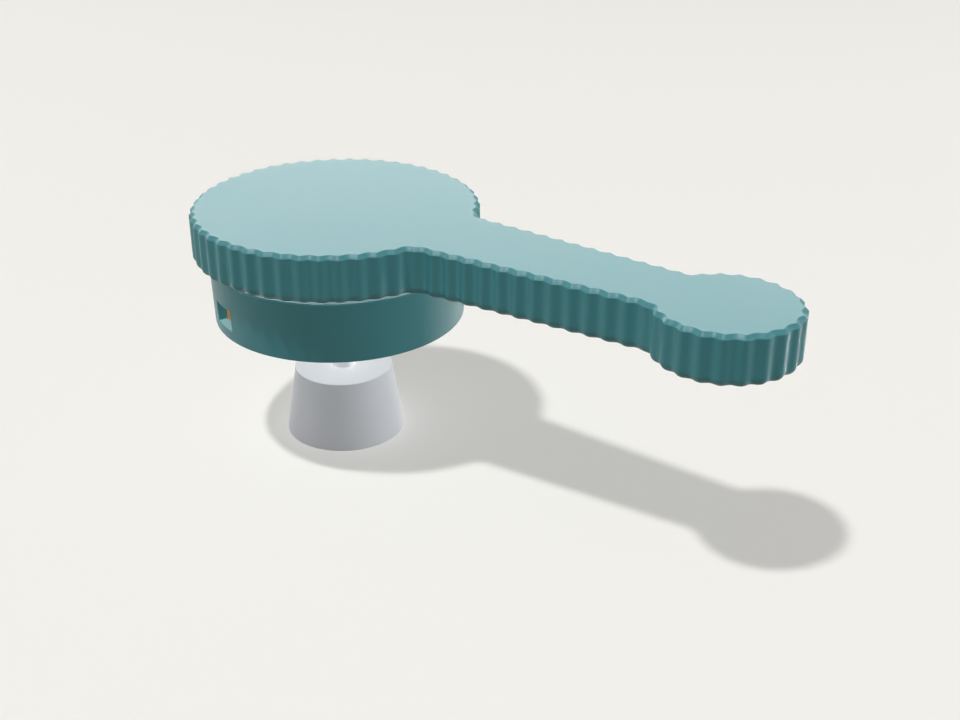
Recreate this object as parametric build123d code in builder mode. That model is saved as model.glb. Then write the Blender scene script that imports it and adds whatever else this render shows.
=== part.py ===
from build123d import *
from math import cos, pi, radians, sin, sqrt
import os

# Lever handle for a tap: a scalloped lever on a collar, with a stem that pushes onto the valve spindle.
# Millimetres. The origin is the centre of the stem's foot, +Z is up and the lever's arm runs along +X.

# Heights of the stack, from the foot up
STEM_HEIGHT = 12.0
ROD_SHOWING = 10.7
COLLAR_HEIGHT = 10.3
SHADOW_GAP = 1.4
LEVER_THICKNESS = 7.6

# Lever plate
HUB_RADIUS = 24.0
ARM_REACH = 71.7
END_RADIUS = 11.0
ARM_WIDTH_AT_HUB = 19.1
ARM_WIDTH_AT_END = 12.2
INNER_CORNER_RADIUS = 2.5
SCALLOP_PITCH = 3.0
SCALLOP_DEPTH = 0.47
SCALLOP_LEAD = 0.65
CURVE_SPANS = 4
RIM_CHAMFER = 0.6

# Lever underside
STEP_RADIUS = 19.5
BOSS_RADIUS = 7.0
BOSS_SETBACK = 1.1
BOSS_FOOT_CHAMFER = 0.4

# Collar
COLLAR_TOP_RADIUS = 21.7
COLLAR_FOOT_RADIUS = 21.4
COLLAR_WALL = 3.0
COLLAR_DECK = 2.6
COLLAR_EDGE_CHAMFER = 0.2
COLLAR_INNER_CHAMFER = 1.0
BOSS_CLEARANCE = 0.2

# Window in the collar and the index plug set back in it
WINDOW_AZIMUTH = -113.0
WINDOW_WIDTH = 5.4
WINDOW_HEIGHT = 3.6
WINDOW_SILL = 1.9
INDEX_RECESS = 1.65
INDEX_CLEARANCE = 0.05
INDEX_RIDGE = 0.3
INDEX_RIDGE_DEPTH = 0.6
INDEX_EDGE_RADIUS = 0.2

# Hub insert, extension rod and grub screw
INSERT_RADIUS = 4.0
INSERT_DEPTH = 13.6
INSERT_FLANGE_RADIUS = 5.4
INSERT_FLANGE_THICKNESS = 0.8
INSERT_END_GAP = 0.3
ROD_RADIUS = 2.0
ROD_CLEARANCE = 0.03
ROD_TOP_SETBACK = 1.0
ROD_CHAMFER = 0.4
ROD_FLAT_DEPTH = 0.4
ROD_FLAT_LENGTH = 5.0
GRUB_RADIUS = 2.0
GRUB_LENGTH = 5.0
GRUB_CLEARANCE = 0.03
GRUB_KEY_WIDTH = 2.0
GRUB_KEY_DEPTH = 2.0
GRUB_POINT_CHAMFER = 0.6

# Screws that hold the collar to the lever
SCREW_COUNT = 3
SCREW_CIRCLE_RADIUS = 12.6
SCREW_RADIUS = 1.5
SCREW_BITE = 5.5
SCREW_HEAD_RADIUS = 2.8
SCREW_HEAD_HEIGHT = 1.7
SCREW_HEAD_RIM = 0.5
SCREW_KEY_WIDTH = 2.0
SCREW_KEY_DEPTH = 1.0
SCREW_HOLE_CLEARANCE = 0.2
SCREW_THREAD_CLEARANCE = 0.03
SCREW_HOLE_SPARE_DEPTH = 0.8

# Stem and its bush
STEM_FOOT_RADIUS = 10.3
STEM_TOP_RADIUS = 8.76
STEM_ROOF = 1.2
STEM_TOP_CHAMFER = 0.2
STEM_FOOT_CHAMFER = 0.3
BUSH_RADIUS = 6.0
BUSH_CLEARANCE = 0.03
BUSH_WEB = 0.8
SOCKET_RADIUS = 4.0
SOCKET_DEPTH = 6.0

# Levels and places worked out from the sizes above
COLLAR_FOOT = STEM_HEIGHT + ROD_SHOWING
COLLAR_TOP = COLLAR_FOOT + COLLAR_HEIGHT
LEVER_BOTTOM = COLLAR_TOP + SHADOW_GAP
LEVER_TOP = LEVER_BOTTOM + LEVER_THICKNESS
DECK_BOTTOM = COLLAR_TOP - COLLAR_DECK
BOSS_BOTTOM = COLLAR_FOOT + BOSS_SETBACK
INSERT_TOP = BOSS_BOTTOM + INSERT_DEPTH
ROD_TOP = INSERT_TOP - ROD_TOP_SETBACK
BUSH_TOP = STEM_HEIGHT - STEM_ROOF
ROD_BOTTOM = SOCKET_DEPTH + BUSH_WEB
WINDOW_LEVEL = COLLAR_FOOT + WINDOW_SILL + WINDOW_HEIGHT / 2
COLLAR_SLOPE = (COLLAR_TOP_RADIUS - COLLAR_FOOT_RADIUS) / COLLAR_HEIGHT
COLLAR_WINDOW_RADIUS = COLLAR_FOOT_RADIUS + COLLAR_SLOPE * (WINDOW_LEVEL - COLLAR_FOOT)
COLLAR_FOOT_BORE = COLLAR_FOOT_RADIUS - COLLAR_WALL
COLLAR_DECK_BORE = COLLAR_FOOT_BORE + COLLAR_SLOPE * (DECK_BOTTOM - COLLAR_FOOT)
INDEX_FACE = COLLAR_WINDOW_RADIUS - INDEX_RECESS
INDEX_RIDGE_TOP = WINDOW_LEVEL + WINDOW_HEIGHT / 2 + INDEX_RIDGE
INDEX_RIDGE_BORE = COLLAR_FOOT_BORE + COLLAR_SLOPE * (INDEX_RIDGE_TOP - COLLAR_FOOT)
INDEX_NARROWEST_BORE = min(COLLAR_FOOT_BORE, INDEX_RIDGE_BORE)
INDEX_RIDGE_FACE = sqrt(INDEX_NARROWEST_BORE**2 - (WINDOW_WIDTH / 2) ** 2) - INDEX_CLEARANCE
INDEX_BACK = INDEX_RIDGE_FACE - INDEX_RIDGE_DEPTH
ROD_FLAT = ROD_RADIUS - ROD_FLAT_DEPTH

# The plane that looks out through the window: its Z axis is the window's axis, its Y axis is up
window_plane = Plane(
    origin=(0, 0, WINDOW_LEVEL),
    x_dir=(-sin(radians(WINDOW_AZIMUTH)), cos(radians(WINDOW_AZIMUTH)), 0),
    z_dir=(cos(radians(WINDOW_AZIMUTH)), sin(radians(WINDOW_AZIMUTH)), 0),
)

# The screws stand midway between the window's axis and its thirds of a turn
screw_ring = {
    "radius": SCREW_CIRCLE_RADIUS,
    "count": SCREW_COUNT,
    "start_angle": WINDOW_AZIMUTH + 180 / SCREW_COUNT,
}


# Lever: its plain outline first, as two discs and a tapered arm with blended inner corners
with BuildSketch() as lever_outline:
    Circle(HUB_RADIUS)
    with Locations((ARM_REACH, 0)):
        Circle(END_RADIUS)
    with BuildLine():
        Polyline(
            (0, -ARM_WIDTH_AT_HUB / 2),
            (ARM_REACH, -ARM_WIDTH_AT_END / 2),
            (ARM_REACH, ARM_WIDTH_AT_END / 2),
            (0, ARM_WIDTH_AT_HUB / 2),
            close=True,
        )
    make_face()
    inner_corners = lever_outline.vertices().sort_by(Axis.X)[:4]
    fillet(inner_corners, radius=INNER_CORNER_RADIUS)

rim = lever_outline.face().outer_wire()
scallop_count = round(rim.length / SCALLOP_PITCH)
scallop_length = rim.length / scallop_count


def rim_point(travel: float, inset: float) -> tuple[Vector, Vector]:
    """Give the waved rim's place and direction at a distance round the plain outline, set in by inset."""
    swing = SCALLOP_DEPTH / 2
    turn = 2 * pi / scallop_length
    wave = turn * (travel - SCALLOP_LEAD)
    along = rim.tangent_at(travel % rim.length, PositionMode.LENGTH)
    outward = Vector(along.Y, -along.X)
    direction = (along - outward * swing * turn * sin(wave)).normalized()
    waved_outward = Vector(direction.Y, -direction.X)
    place = rim.position_at(travel % rim.length, PositionMode.LENGTH)
    return place + outward * swing * cos(wave) - waved_outward * inset, direction


def lever_section(level: float, inset: float) -> Face:
    """Make the lever's section at a level, set in by inset, with one curve to each scallop."""
    scallops = []
    for number in range(scallop_count):
        trough = SCALLOP_LEAD + (number - 0.5) * scallop_length
        steps = [trough + scallop_length * span / CURVE_SPANS for span in range(CURVE_SPANS + 1)]
        places, directions = zip(*(rim_point(step, inset) for step in steps))
        scallops.append(Edge.make_spline(places, tangents=(directions[0], directions[-1])))
    return Plane.XY.offset(level) * Face(Wire(scallops))


with BuildPart() as lever:
    loft(
        sections=[
            lever_section(LEVER_BOTTOM, RIM_CHAMFER),
            lever_section(LEVER_BOTTOM + RIM_CHAMFER, 0),
            lever_section(LEVER_TOP - RIM_CHAMFER, 0),
            lever_section(LEVER_TOP, RIM_CHAMFER),
        ],
        ruled=True,
        clean=False,
    )
    # Round step that stands on the collar's deck and leaves the shadow gap open round it
    with BuildSketch(Plane.XY.offset(COLLAR_TOP)):
        Circle(STEP_RADIUS)
    extrude(amount=SHADOW_GAP)
    # Boss that reaches down through the collar
    with BuildSketch(Plane.XY.offset(BOSS_BOTTOM)):
        Circle(BOSS_RADIUS)
    extrude(amount=COLLAR_TOP - BOSS_BOTTOM)
    boss_foot = lever.faces().sort_by(Axis.Z)[0]
    chamfer(boss_foot.edges(), length=BOSS_FOOT_CHAMFER)
    with BuildSketch(Plane.XY.offset(BOSS_BOTTOM)):
        Circle(INSERT_RADIUS)
    extrude(amount=INSERT_DEPTH + INSERT_END_GAP, mode=Mode.SUBTRACT)
    with BuildSketch(window_plane):
        Circle(GRUB_RADIUS + GRUB_CLEARANCE)
    extrude(amount=BOSS_RADIUS, mode=Mode.SUBTRACT)
    with BuildSketch(Plane.XY.offset(COLLAR_TOP)):
        with PolarLocations(**screw_ring):
            Circle(SCREW_RADIUS + SCREW_THREAD_CLEARANCE)
    extrude(amount=SCREW_BITE + SCREW_HOLE_SPARE_DEPTH, mode=Mode.SUBTRACT)


# Collar: a drafted cup turned upside down, with a hole in its deck for the boss
with BuildPart() as collar:
    with BuildSketch(Plane.XZ) as collar_section:
        with BuildLine():
            Polyline(
                (BOSS_RADIUS + BOSS_CLEARANCE, COLLAR_TOP),
                (COLLAR_TOP_RADIUS, COLLAR_TOP),
                (COLLAR_FOOT_RADIUS, COLLAR_FOOT),
                (COLLAR_FOOT_BORE, COLLAR_FOOT),
                (COLLAR_DECK_BORE, DECK_BOTTOM),
                (BOSS_RADIUS + BOSS_CLEARANCE, DECK_BOTTOM),
                close=True,
            )
        make_face()
        corners = collar_section.vertices()
        outer_corners = corners.sort_by(Axis.X)[-2:]
        inner_corner = corners.sort_by_distance((COLLAR_DECK_BORE, 0, DECK_BOTTOM))[0]
        chamfer(outer_corners, length=COLLAR_EDGE_CHAMFER)
        chamfer(inner_corner, length=COLLAR_INNER_CHAMFER)
    revolve(axis=Axis.Z)
    with BuildSketch(window_plane):
        Rectangle(WINDOW_WIDTH, WINDOW_HEIGHT)
    extrude(amount=max(COLLAR_TOP_RADIUS, COLLAR_FOOT_RADIUS), mode=Mode.SUBTRACT)
    with BuildSketch(Plane.XY.offset(DECK_BOTTOM)):
        with PolarLocations(**screw_ring):
            Circle(SCREW_RADIUS + SCREW_HOLE_CLEARANCE)
    extrude(amount=COLLAR_DECK, mode=Mode.SUBTRACT)


# Index plug: a block that fills the window from behind its recess, with snap ridges inside the wall
with BuildPart() as index_plug:
    with BuildSketch(window_plane.offset(INDEX_BACK)):
        Rectangle(WINDOW_WIDTH - 2 * INDEX_CLEARANCE, WINDOW_HEIGHT - 2 * INDEX_CLEARANCE)
    extrude(amount=INDEX_FACE - INDEX_BACK)
    outer_face = index_plug.faces().sort_by(Axis((0, 0, 0), window_plane.z_dir))[-1]
    fillet(outer_face.edges(), radius=INDEX_EDGE_RADIUS)
    with BuildSketch(window_plane.offset(INDEX_BACK)):
        Rectangle(WINDOW_WIDTH - 2 * INDEX_CLEARANCE, WINDOW_HEIGHT + 2 * INDEX_RIDGE)
    extrude(amount=INDEX_RIDGE_DEPTH)


# Hub insert: flanged bush pressed into the boss, drilled across for the grub screw
with BuildPart() as hub_insert:
    with BuildSketch(Plane.XY.offset(BOSS_BOTTOM)):
        Circle(INSERT_RADIUS)
    extrude(amount=INSERT_DEPTH)
    with BuildSketch(Plane.XY.offset(BOSS_BOTTOM)):
        Circle(INSERT_FLANGE_RADIUS)
    extrude(amount=-INSERT_FLANGE_THICKNESS)
    with BuildSketch(Plane.XY.offset(BOSS_BOTTOM - INSERT_FLANGE_THICKNESS)):
        Circle(ROD_RADIUS + ROD_CLEARANCE)
    extrude(amount=INSERT_DEPTH + INSERT_FLANGE_THICKNESS, mode=Mode.SUBTRACT)
    with BuildSketch(window_plane):
        Circle(GRUB_RADIUS + GRUB_CLEARANCE)
    extrude(amount=INSERT_RADIUS, mode=Mode.SUBTRACT)


# Extension rod: plain rod with a flat where the grub screw bears
with BuildPart() as extension_rod:
    with BuildSketch(Plane.XY.offset(ROD_BOTTOM)):
        Circle(ROD_RADIUS)
    extrude(amount=ROD_TOP - ROD_BOTTOM)
    chamfer(extension_rod.edges().filter_by(GeomType.CIRCLE), length=ROD_CHAMFER)
    with BuildSketch(window_plane.offset(ROD_FLAT)):
        Rectangle(2 * ROD_RADIUS, ROD_FLAT_LENGTH)
    extrude(amount=ROD_FLAT_DEPTH, mode=Mode.SUBTRACT)


# Grub screw: its point bears on the rod's flat, its hexagon socket faces the window
with BuildPart() as grub_screw:
    with BuildSketch(window_plane.offset(ROD_FLAT)):
        Circle(GRUB_RADIUS)
    extrude(amount=GRUB_LENGTH)
    window_axis = Axis((0, 0, WINDOW_LEVEL), window_plane.z_dir)
    point_edge = grub_screw.edges().filter_by(GeomType.CIRCLE).sort_by(window_axis)[0]
    chamfer(point_edge, length=GRUB_POINT_CHAMFER)
    with BuildSketch(window_plane.offset(ROD_FLAT + GRUB_LENGTH)):
        RegularPolygon(GRUB_KEY_WIDTH / 2, side_count=6, major_radius=False)
    extrude(amount=-GRUB_KEY_DEPTH, mode=Mode.SUBTRACT)


# Collar screws: button heads under the deck, shanks up into the lever
with BuildPart() as collar_screws:
    with BuildSketch(Plane.XY.offset(DECK_BOTTOM)):
        with PolarLocations(**screw_ring):
            Circle(SCREW_HEAD_RADIUS)
    extrude(amount=-SCREW_HEAD_HEIGHT)
    head_edges = collar_screws.edges().filter_by(GeomType.CIRCLE).group_by(Axis.Z)[0]
    chamfer(head_edges, length=SCREW_HEAD_HEIGHT - SCREW_HEAD_RIM)
    with BuildSketch(Plane.XY.offset(DECK_BOTTOM)):
        with PolarLocations(**screw_ring):
            Circle(SCREW_RADIUS)
    extrude(amount=COLLAR_DECK + SCREW_BITE)
    with BuildSketch(Plane.XY.offset(DECK_BOTTOM - SCREW_HEAD_HEIGHT)):
        with PolarLocations(**screw_ring):
            RegularPolygon(SCREW_KEY_WIDTH / 2, side_count=6, major_radius=False)
    extrude(amount=SCREW_KEY_DEPTH, mode=Mode.SUBTRACT)


# Stem cone: tapered cover over the bush, closed by a roof that the rod comes up through
with BuildPart() as stem_cone:
    with BuildSketch(Plane.XZ) as stem_section:
        with BuildLine():
            Polyline(
                (ROD_RADIUS + ROD_CLEARANCE, STEM_HEIGHT),
                (STEM_TOP_RADIUS, STEM_HEIGHT),
                (STEM_FOOT_RADIUS, 0),
                (BUSH_RADIUS + BUSH_CLEARANCE, 0),
                (BUSH_RADIUS + BUSH_CLEARANCE, BUSH_TOP),
                (ROD_RADIUS + ROD_CLEARANCE, BUSH_TOP),
                close=True,
            )
        make_face()
        foot_corner, top_corner = stem_section.vertices().sort_by(Axis.X)[-1:-3:-1]
        chamfer(top_corner, length=STEM_TOP_CHAMFER)
        chamfer(foot_corner, length=STEM_FOOT_CHAMFER)
    revolve(axis=Axis.Z)


# Stem bush: the socket for the valve spindle below, the seat of the rod above
with BuildPart() as stem_bush:
    with BuildSketch():
        Circle(BUSH_RADIUS)
    extrude(amount=BUSH_TOP)
    with BuildSketch():
        Circle(SOCKET_RADIUS)
    extrude(amount=SOCKET_DEPTH, mode=Mode.SUBTRACT)
    with BuildSketch(Plane.XY.offset(ROD_BOTTOM)):
        Circle(ROD_RADIUS + ROD_CLEARANCE)
    extrude(amount=BUSH_TOP - ROD_BOTTOM, mode=Mode.SUBTRACT)


os.makedirs("parts", exist_ok=True)

lever.part.label = "lever"
export_step(lever.part, "parts/lever.step")

collar.part.label = "collar"
export_step(collar.part, "parts/collar.step")

index_plug.part.label = "index_plug"
export_step(index_plug.part, "parts/index_plug.step")

hub_insert.part.label = "hub_insert"
export_step(hub_insert.part, "parts/hub_insert.step")

extension_rod.part.label = "extension_rod"
export_step(extension_rod.part, "parts/extension_rod.step")

grub_screw.part.label = "grub_screw"
export_step(grub_screw.part, "parts/grub_screw.step")

collar_screws.part.label = "collar_screws"
export_step(collar_screws.part, "parts/collar_screws.step")

stem_cone.part.label = "stem_cone"
export_step(stem_cone.part, "parts/stem_cone.step")

stem_bush.part.label = "stem_bush"
export_step(stem_bush.part, "parts/stem_bush.step")
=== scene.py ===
"""Dress the tap lever handle: waved lever, collar, index plug, hub fittings, stem and a pale studio."""

from __future__ import annotations

import logging
import math
from dataclasses import dataclass
from enum import Enum

import bmesh
import bpy
from mathutils import Matrix, Vector


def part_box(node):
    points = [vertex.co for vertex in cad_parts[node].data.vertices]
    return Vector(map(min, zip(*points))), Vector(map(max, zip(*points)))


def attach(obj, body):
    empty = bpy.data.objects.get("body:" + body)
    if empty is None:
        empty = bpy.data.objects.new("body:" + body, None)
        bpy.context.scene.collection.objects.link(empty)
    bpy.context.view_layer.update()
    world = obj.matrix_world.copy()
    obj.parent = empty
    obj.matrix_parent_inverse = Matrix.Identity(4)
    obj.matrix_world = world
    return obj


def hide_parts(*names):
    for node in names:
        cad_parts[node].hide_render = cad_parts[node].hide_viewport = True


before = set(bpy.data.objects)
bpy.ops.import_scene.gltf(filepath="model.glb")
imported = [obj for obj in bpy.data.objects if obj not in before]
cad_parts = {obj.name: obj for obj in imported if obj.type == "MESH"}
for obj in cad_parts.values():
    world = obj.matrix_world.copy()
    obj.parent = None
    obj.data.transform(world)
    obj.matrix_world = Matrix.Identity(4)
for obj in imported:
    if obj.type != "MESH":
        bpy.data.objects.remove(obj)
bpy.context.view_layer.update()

MM = 0.001
BODY = "root"
# A softened corner has at least SOFT_STEPS steps, and none is longer than ROUND_STEP.
SOFT_STEPS = 4
ROUND_STEP = 0.25 * MM
OUTLINE_STEP = 0.1 * MM
BEVEL_STEPS = 3
SHARP_ANGLE = math.radians(32)
MERGE_DISTANCE = 0.002 * MM
# Numbers of a Mix node's colour sockets, which share their names with its other kinds of value.
MIX_SHARE, MIX_FIRST, MIX_SECOND, MIX_RESULT = 0, 6, 7, 2
# Width of one band of a Wave texture at scale 1.
WAVE_BAND = math.pi / 10

log = logging.getLogger("tap_lever")

Point = tuple[float, float]
Place = tuple[float, float, float]
Colour = tuple[float, float, float]


class Slot(Enum):
    """The record's material slots."""

    COAT = "teal_coat"
    INDEX = "index_orange"
    BRASS = "brass"
    STEEL = "steel"
    STEM = "stem_grey"


class SocketKind(Enum):
    """Kinds of named inputs that a shape's node tree takes."""

    LENGTH = "NodeSocketFloat"
    COUNT = "NodeSocketInt"
    OBJECT = "NodeSocketObject"
    FINISH = "NodeSocketMaterial"


class EdgeChoice(Enum):
    """Which edges of a piece a bevel rounds."""

    CORNERS = "ANGLE"
    MARKED = "WEIGHT"


class Signal:
    """A node's output socket that takes part in Python expressions; each operator adds a Math node."""

    def __init__(self, graph: NodeGraph, socket: bpy.types.NodeSocket) -> None:
        """Keep the graph and the socket."""
        self.graph = graph
        self.socket = socket

    def math(self, operation: str, first: object, second: object = 0.0) -> Signal:
        """Add a Math node.

        Args:
            operation: the Math node's operation.
            first: its first value, a number or a signal.
            second: its second value, a number or a signal.

        Returns:
            The node's result.
        """
        return self.graph.node("ShaderNodeMath", {"operation": operation}, {0: first, 1: second})

    def __add__(self, other: object) -> Signal:
        """Give self + other."""
        return self.math("ADD", self, other)

    def __radd__(self, other: object) -> Signal:
        """Give other + self."""
        return self.math("ADD", other, self)

    def __sub__(self, other: object) -> Signal:
        """Give self - other."""
        return self.math("SUBTRACT", self, other)

    def __rsub__(self, other: object) -> Signal:
        """Give other - self."""
        return self.math("SUBTRACT", other, self)

    def __mul__(self, other: object) -> Signal:
        """Give self * other."""
        return self.math("MULTIPLY", self, other)

    def __rmul__(self, other: object) -> Signal:
        """Give other * self."""
        return self.math("MULTIPLY", other, self)

    def __truediv__(self, other: object) -> Signal:
        """Give self / other."""
        return self.math("DIVIDE", self, other)

    def __rtruediv__(self, other: object) -> Signal:
        """Give other / self."""
        return self.math("DIVIDE", other, self)

    def cosine(self) -> Signal:
        """Give the cosine of self."""
        return self.math("COSINE", self)

    def sibling(self, output: str | int) -> Signal:
        """Give another output of the same node."""
        return Signal(self.graph, self.socket.node.outputs[output])


class NodeGraph:
    """A shader or geometry node tree that is filled by node() and by expressions on signals."""

    def __init__(self, tree: bpy.types.NodeTree) -> None:
        """Keep the tree to fill."""
        self.tree = tree

    def node(
        self,
        kind: str,
        settings: dict[str, object] | None = None,
        inputs: dict[str | int, object] | None = None,
        output: str | int = 0,
    ) -> Signal | None:
        """Add a node.

        Args:
            kind: the node's Blender type.
            settings: the node's own properties, set first.
            inputs: values or signals for its sockets, by name or number.
            output: the output to hand back.

        Returns:
            That output, or None on a node that has no outputs.
        """
        made = self.tree.nodes.new(kind)
        for name, value in (settings or {}).items():
            setattr(made, name, value)
        for key, value in (inputs or {}).items():
            self.feed(made.inputs[key], value)
        return Signal(self, made.outputs[output]) if len(made.outputs) else None

    def feed(self, socket: bpy.types.NodeSocket, value: object) -> None:
        """Link a socket or set its own value.

        Args:
            socket: the input socket.
            value: a signal or a list of signals to link, or a plain value.
        """
        if isinstance(value, list):
            for signal in value:
                self.tree.links.new(signal.socket, socket)
        elif isinstance(value, Signal):
            self.tree.links.new(value.socket, socket)
        else:
            socket.default_value = value

    def vector(self, operation: str, first: object, second: object = None, scale: object = None) -> Signal:
        """Add a Vector Math node.

        Args:
            operation: the node's operation.
            first: its first vector.
            second: its second vector, where the operation takes one.
            scale: its scale, where the operation takes one.

        Returns:
            The resulting vector.
        """
        inputs = {0: first}
        if second is not None:
            inputs[1] = second
        if scale is not None:
            inputs["Scale"] = scale
        return self.node("ShaderNodeVectorMath", {"operation": operation}, inputs)

    def seen(self) -> Signal:
        """Give 1 where the camera sees a surface, straight or through a mirror or glass, and 0 elsewhere."""
        path = self.node("ShaderNodeLightPath", output="Is Camera Ray")
        return path + path.sibling("Is Glossy Ray") + path.sibling("Is Transmission Ray")

    def blend(self, share: Signal, first: Colour, second: Colour) -> Signal:
        """Mix two colours by a share from 0 to 1."""
        inputs = {MIX_SHARE: share, MIX_FIRST: (*first, 1.0), MIX_SECOND: (*second, 1.0)}
        return self.node("ShaderNodeMix", {"data_type": "RGBA"}, inputs, output=MIX_RESULT)


class ShapeGraph(NodeGraph):
    """A Geometry Nodes tree with named inputs, run once to give a plain mesh."""

    def __init__(self, name: str) -> None:
        """Make an empty tree with one geometry output.

        Args:
            name: the tree's name.
        """
        super().__init__(bpy.data.node_groups.new(name, "GeometryNodeTree"))
        self.tree.interface.new_socket("Geometry", in_out="OUTPUT", socket_type="NodeSocketGeometry")
        self.entry = self.tree.nodes.new("NodeGroupInput")
        self.exit = self.tree.nodes.new("NodeGroupOutput")

    def input(self, name: str, kind: SocketKind) -> Signal:
        """Add a named input to the tree."""
        self.tree.interface.new_socket(name, in_out="INPUT", socket_type=kind.value)
        return Signal(self, self.entry.outputs[name])

    def shape_of(self, source: Signal) -> Signal:
        """Give an input object's own curve or mesh."""
        return self.node("GeometryNodeObjectInfo", inputs={"Object": source}, output="Geometry")

    def close(self, shape: Signal, finish: Signal) -> None:
        """End the tree in Realize Instances and Set Material.

        Args:
            shape: the geometry that the tree gives.
            finish: the material that it gets.
        """
        solid = self.node("GeometryNodeRealizeInstances", inputs={"Geometry": shape})
        dressed = self.node("GeometryNodeSetMaterial", inputs={"Geometry": solid, "Material": finish})
        self.feed(self.exit.inputs["Geometry"], dressed)

    def mesh(self, values: dict[str, object]) -> bpy.types.Mesh:
        """Run the tree.

        Args:
            values: the tree's inputs by name.

        Returns:
            The resulting mesh.
        """
        carrier = linked(self.tree.name, bpy.data.meshes.new(self.tree.name))
        modifier = carrier.modifiers.new(self.tree.name, "NODES")
        modifier.node_group = self.tree
        for item in self.tree.interface.items_tree:
            if item.in_out == "INPUT":
                modifier[item.identifier] = values[item.name]
        mesh = settled_mesh(carrier)
        carrier.modifiers.remove(modifier)
        bpy.data.objects.remove(carrier)
        return mesh


@dataclass(frozen=True)
class Finish:
    """A surface finish that makes its own node material."""

    name: str
    colour: Colour
    roughness: float

    def material(self) -> bpy.types.Material:
        """Make the finish's material.

        Returns:
            The material.
        """
        made = bpy.data.materials.new(self.name)
        made.use_nodes = True
        made.node_tree.nodes.clear()
        graph = NodeGraph(made.node_tree)
        shader = graph.node("ShaderNodeBsdfPrincipled", inputs=self.surface(graph))
        graph.node("ShaderNodeOutputMaterial", inputs={"Surface": shader})
        return made

    def surface(self, graph: NodeGraph) -> dict[str | int, object]:
        """Give the shader's inputs by name; each kind of finish says its own."""
        raise NotImplementedError

    def shade(self, factor: float) -> Colour:
        """Give the finish's colour made darker or lighter by a factor."""
        red, green, blue = self.colour
        return (red * factor, green * factor, blue * factor)

    @staticmethod
    def noise(graph: NodeGraph, size: float, detail: float = 2.0) -> Signal:
        """Give a noise from 0 to 1 on the piece's own coordinates.

        Args:
            graph: the material's node tree.
            size: the size of the noise's grains in metres.
            detail: how many finer layers the noise has.

        Returns:
            The noise.
        """
        place = graph.node("ShaderNodeTexCoord", output="Object")
        inputs = {"Vector": place, "Scale": 1.0 / size, "Detail": detail}
        return graph.node("ShaderNodeTexNoise", inputs=inputs)

    @staticmethod
    def bump(graph: NodeGraph, height: Signal, depth: float) -> Signal:
        """Give a normal that follows a height field of a depth in metres."""
        return graph.node("ShaderNodeBump", inputs={"Strength": 1.0, "Distance": depth, "Height": height})


@dataclass(frozen=True)
class SatinCoat(Finish):
    """Satin powder coat: a fine orange peel and a slightly uneven gloss."""

    peel_size: float = 0.9 * MM
    peel_depth: float = 0.002 * MM
    grain_size: float = 0.16 * MM
    grain_share: float = 0.2
    cloud_size: float = 14.0 * MM
    shades: tuple[float, float] = (0.95, 1.05)
    gloss_range: float = 0.06
    specular: float = 0.42

    def surface(self, graph: NodeGraph) -> dict[str | int, object]:
        """Give the coat's shader inputs.

        Args:
            graph: the material's node tree.

        Returns:
            The inputs by name.
        """
        cloud = self.noise(graph, self.cloud_size)
        grain = self.noise(graph, self.grain_size)
        peel = self.noise(graph, self.peel_size, detail=1.0)
        uneven = (cloud - 0.5) * self.gloss_range + (grain - 0.5) * self.gloss_range
        relief = peel * (1.0 - self.grain_share) + grain * self.grain_share
        return {
            "Base Color": graph.blend(cloud, *map(self.shade, self.shades)),
            "Roughness": self.roughness + uneven,
            "Normal": self.bump(graph, relief, self.peel_depth),
            "Specular IOR Level": self.specular,
        }


@dataclass(frozen=True)
class MouldedPlastic(Finish):
    """Moulded plastic with the fine spark texture of its mould."""

    spark_size: float = 0.22 * MM
    spark_depth: float = 0.003 * MM
    cloud_size: float = 9.0 * MM
    shades: tuple[float, float] = (0.97, 1.03)
    gloss_range: float = 0.12

    def surface(self, graph: NodeGraph) -> dict[str | int, object]:
        """Give the plastic's shader inputs.

        Args:
            graph: the material's node tree.

        Returns:
            The inputs by name.
        """
        cloud = self.noise(graph, self.cloud_size)
        spark = self.noise(graph, self.spark_size, detail=3.0)
        return {
            "Base Color": graph.blend(cloud, *map(self.shade, self.shades)),
            "Roughness": self.roughness + (spark - 0.5) * self.gloss_range,
            "Normal": self.bump(graph, spark, self.spark_depth),
        }


@dataclass(frozen=True)
class TurnedMetal(Finish):
    """Turned metal with fine tool rings along the axis and a slightly uneven shine."""

    ring_pitch: float = 0.12 * MM
    ring_depth: float = 0.001 * MM
    ring_wander: float = 0.4
    ring_gloss_range: float = 0.08
    cloud_size: float = 3.0 * MM
    cloud_gloss_range: float = 0.1
    shades: tuple[float, float] = (0.94, 1.04)

    def surface(self, graph: NodeGraph) -> dict[str | int, object]:
        """Give the metal's shader inputs.

        Args:
            graph: the material's node tree.

        Returns:
            The inputs by name.
        """
        place = graph.node("ShaderNodeTexCoord", output="Object")
        cloud = self.noise(graph, self.cloud_size)
        settings = {"wave_type": "BANDS", "bands_direction": "Z", "wave_profile": "SIN"}
        inputs = {"Vector": place, "Scale": WAVE_BAND / self.ring_pitch, "Distortion": self.ring_wander}
        rings = graph.node("ShaderNodeTexWave", settings, inputs, output=1)
        uneven = (cloud - 0.5) * self.cloud_gloss_range + (rings - 0.5) * self.ring_gloss_range
        return {
            "Base Color": graph.blend(cloud, *map(self.shade, self.shades)),
            "Metallic": 1.0,
            "Roughness": self.roughness + uneven,
            "Normal": self.bump(graph, rings, self.ring_depth),
        }


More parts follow.
